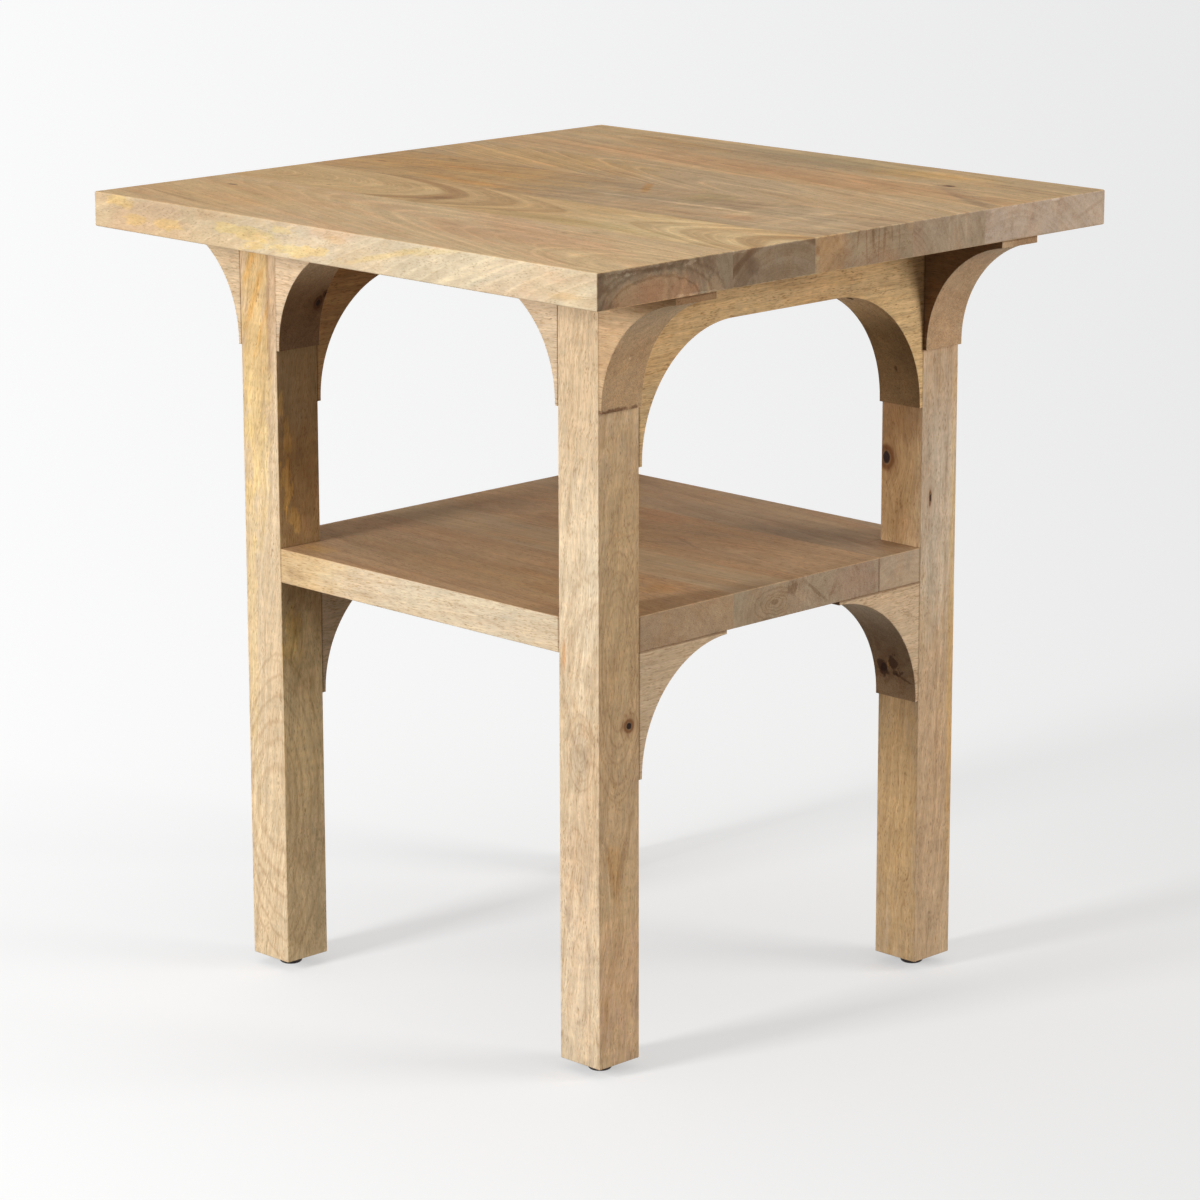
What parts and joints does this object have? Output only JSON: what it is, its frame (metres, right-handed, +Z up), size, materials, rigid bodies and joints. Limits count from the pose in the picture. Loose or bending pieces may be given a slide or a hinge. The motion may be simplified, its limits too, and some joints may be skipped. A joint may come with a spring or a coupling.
{
  "type": "accent table",
  "caption": "Square solid wood accent table with a lower shelf, arched side rails, curved corner brackets and levelling feet.",
  "frame": {"origin": "on the floor, under the middle of the square top, with the levelling feet screwed right in", "axes": "+Z up; +X along the grain of the top and the shelf, to the right seen from the open front; +Y from the open front to the open back"},
  "size_m": [0.61, 0.61, 0.69],
  "materials": {
    "top_wood": "satin",
    "shelf_wood": "satin",
    "leg_wood": "satin",
    "rail_wood": "satin",
    "bracket_wood": "satin",
    "dowel_wood": "plain",
    "fastener_steel": "zinc plated",
    "pad_plastic": "satin"
  },
  "bodies": {
    "table": {"top_board_1": "top_wood", "top_board_2": "top_wood", "top_board_3": "top_wood", "top_board_4": "top_wood", "top_board_5": "top_wood", "shelf_board_1": "shelf_wood", "shelf_board_2": "shelf_wood", "shelf_board_3": "shelf_wood", "shelf_board_4": "shelf_wood", "arched_rail_left": "rail_wood", "arched_rail_right": "rail_wood", "leg_front_left": "leg_wood", "leg_front_right": "leg_wood", "leg_back_left": "leg_wood", "leg_back_right": "leg_wood", "bracket_outer_front_left": "bracket_wood", "bracket_inner_front_left": "bracket_wood", "shelf_bracket_front_left": "bracket_wood", "bracket_outer_front_right": "bracket_wood", "bracket_inner_front_right": "bracket_wood", "shelf_bracket_front_right": "bracket_wood", "bracket_outer_back_left": "bracket_wood", "bracket_inner_back_left": "bracket_wood", "shelf_bracket_back_left": "bracket_wood", "bracket_outer_back_right": "bracket_wood", "bracket_inner_back_right": "bracket_wood", "shelf_bracket_back_right": "bracket_wood", "rail_dowels": "dowel_wood", "bracket_side_dowels": "dowel_wood", "bracket_top_dowels": "dowel_wood", "leg_top_dowels": "dowel_wood", "shelf_dowels": "dowel_wood", "shelf_bracket_side_dowels": "dowel_wood", "shelf_bracket_top_dowels": "dowel_wood", "top_screws": "fastener_steel", "leveller_insert_front_left": "fastener_steel", "leveller_insert_front_right": "fastener_steel", "leveller_insert_back_left": "fastener_steel", "leveller_insert_back_right": "fastener_steel"},
    "leveller_front_left": {"leveller_stem_front_left": "fastener_steel", "leveller_pad_front_left": "pad_plastic"},
    "leveller_front_right": {"leveller_stem_front_right": "fastener_steel", "leveller_pad_front_right": "pad_plastic"},
    "leveller_back_left": {"leveller_stem_back_left": "fastener_steel", "leveller_pad_back_left": "pad_plastic"},
    "leveller_back_right": {"leveller_stem_back_right": "fastener_steel", "leveller_pad_back_right": "pad_plastic"}
  },
  "joints": [
    {"name": "leveller_front_left_travel", "type": "slide", "parent": "table", "child": "leveller_front_left", "axis": [0, 0, -1], "range_m": [0, 0.01]},
    {"name": "leveller_front_right_travel", "type": "slide", "parent": "table", "child": "leveller_front_right", "axis": [0, 0, -1], "range_m": [0, 0.01]},
    {"name": "leveller_back_left_travel", "type": "slide", "parent": "table", "child": "leveller_back_left", "axis": [0, 0, -1], "range_m": [0, 0.01]},
    {"name": "leveller_back_right_travel", "type": "slide", "parent": "table", "child": "leveller_back_right", "axis": [0, 0, -1], "range_m": [0, 0.01]}
  ]
}
